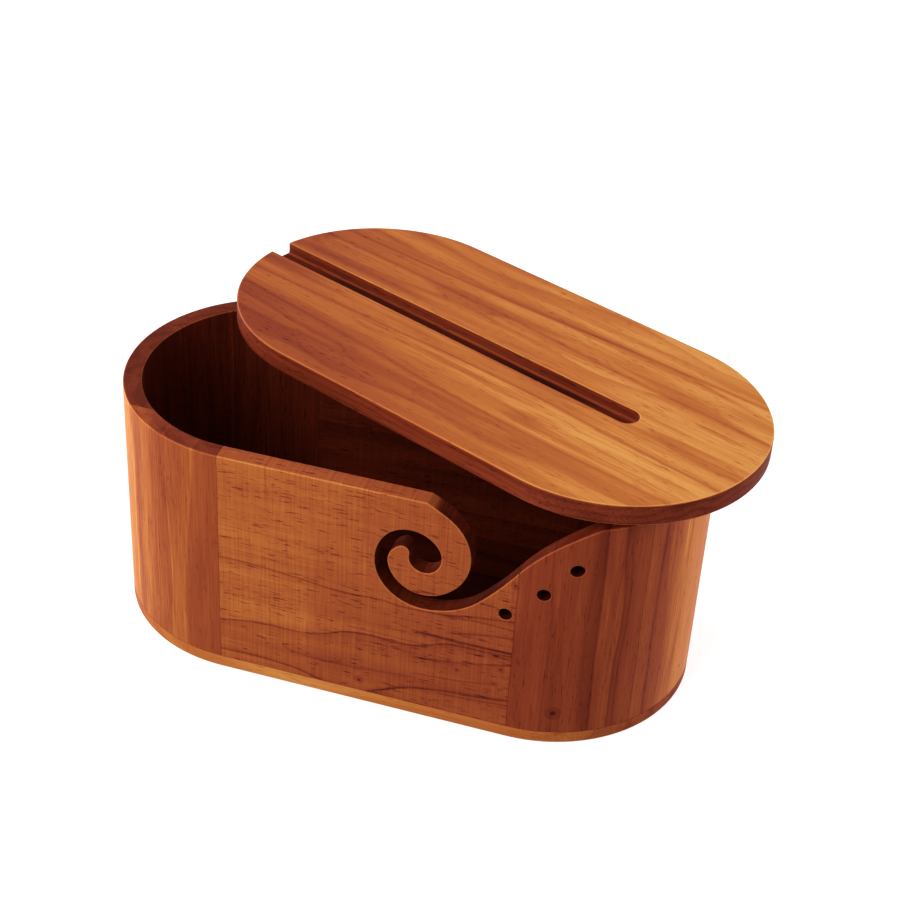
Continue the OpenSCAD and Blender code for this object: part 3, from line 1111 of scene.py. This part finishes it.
def camera_axes(turn):
    """Camera to world rotation, from the turn to the right, the tilt down and the roll."""
    right_turn, tilt, roll = turn
    ahead = np.array([
        math.sin(right_turn) * math.cos(tilt), math.cos(right_turn) * math.cos(tilt), -math.sin(tilt)])
    right = np.array([math.cos(right_turn), -math.sin(right_turn), 0])
    down = np.cross(ahead, right)
    rolled_right = math.cos(roll) * right - math.sin(roll) * down
    rolled_down = math.sin(roll) * right + math.cos(roll) * down
    return Matrix(np.stack([rolled_right, -rolled_down, -ahead], axis=1).tolist())


def shown_rays(f):
    """1 for the rays that show a backdrop itself: from the camera, in a reflection or through glass."""
    rays = f.node("ShaderNodeLightPath").outputs
    kinds = [Value(f, rays[name]) for name in ("Is Camera Ray", "Is Glossy Ray", "Is Transmission Ray")]
    return f.maths("ADD", kinds[0] + kinds[1], kinds[2], clamped=True)


def floor_finish():
    """Pale floor that is shown as white, and that keeps the object's shadow."""
    f = Finish(bpy.data.materials.new("studio_floor"))
    matt = f.node("ShaderNodeBsdfDiffuse", None, {"Color": (0.5, 0.5, 0.5, 1)})
    glow = f.node("ShaderNodeEmission", None, {"Color": (1, 1, 1, 1), "Strength": 0.72})
    both = f.node("ShaderNodeAddShader", None, {0: matt.outputs[0], 1: glow.outputs[0]})
    mixed = f.node("ShaderNodeMixShader", None, {0: shown_rays(f), 1: matt.outputs[0], 2: both.outputs[0]})
    f.node("ShaderNodeOutputMaterial", None, {"Surface": mixed.outputs[0]})
    return f.owner


def build_world(strength):
    """White room: shown as full white, and a plain light level for everything else."""
    f = Finish(bpy.data.worlds.new("studio_room"))
    light = f.node("ShaderNodeBackground", None, {"Color": (1, 1, 1, 1), "Strength": strength})
    white = f.node("ShaderNodeBackground", None, {"Color": (1, 1, 1, 1), "Strength": 1.0})
    mixed = f.node("ShaderNodeMixShader", None, {0: shown_rays(f), 1: light.outputs[0], 2: white.outputs[0]})
    f.node("ShaderNodeOutputWorld", None, {"Surface": mixed.outputs[0]})
    bpy.context.scene.world = f.owner


class BuildStage(bpy.types.Operator):
    """Floor, soft lamps, white room and the camera"""

    bl_idname = "yarn_box.stage"
    bl_label = "Studio"

    def execute(self, context):
        scene = context.scene
        stage = scene.yarn_box_stage
        corners = np.array([[-1, -1, 0], [1, -1, 0], [1, 1, 0], [-1, 1, 0]]) * FLOOR_HALF
        mesh = bpy.data.meshes.new("studio_floor")
        mesh.from_pydata(corners.tolist(), [], [[0, 1, 2, 3]])
        mesh.materials.append(floor_finish())
        floor = bpy.data.objects.new("studio_floor", mesh)
        scene.collection.objects.link(floor)
        build_world(stage.world_light)
        for name, place, width, height, setting in LAMPS:
            add_lamp(name, place, width, height, getattr(stage, setting))
        data = bpy.data.cameras.new("camera")
        data.sensor_width = 36
        data.lens = stage.lens
        camera = bpy.data.objects.new("camera", data)
        scene.collection.objects.link(camera)
        camera.location = stage.camera_place
        camera.rotation_mode = "QUATERNION"
        camera.rotation_quaternion = camera_axes(stage.camera_turn).to_quaternion()
        data.clip_start = 0.01
        data.clip_end = 50
        scene.camera = camera
        scene.view_settings.view_transform = "Standard"
        return {"FINISHED"}


OPERATORS = [
    BuildFrontPanel, BuildBackPanel, BuildBasePanel, BuildLeftEnd, BuildRightEnd, BuildLidBoard,
    BuildLocatingPanel, BuildStage,
]


class YarnBoxPanel(bpy.types.Panel):
    """Buttons that build the pieces, and their settings"""

    bl_idname = "YARNBOX_PT_pieces"
    bl_label = "Yarn dispenser box"
    bl_space_type = "VIEW_3D"
    bl_region_type = "UI"
    bl_category = "Yarn Box"

    def draw(self, context):
        for operator in OPERATORS:
            self.layout.operator(operator.bl_idname)
        for name, settings in SETTINGS.items():
            box = self.layout.box()
            for key in settings.__annotations__:
                box.prop(getattr(context.scene, name), key)


CLASSES = [*SETTINGS.values(), *OPERATORS, YarnBoxPanel]


def register():
    for cls in CLASSES:
        bpy.utils.register_class(cls)
    for name, settings in SETTINGS.items():
        setattr(bpy.types.Scene, name, bpy.props.PointerProperty(type=settings))


def unregister():
    for name in SETTINGS:
        delattr(bpy.types.Scene, name)
    for cls in reversed(CLASSES):
        bpy.utils.unregister_class(cls)


def main():
    register()
    for operator in OPERATORS:
        group, name = operator.bl_idname.split(".")
        getattr(getattr(bpy.ops, group), name)()


if __name__ == "__main__":
    main()
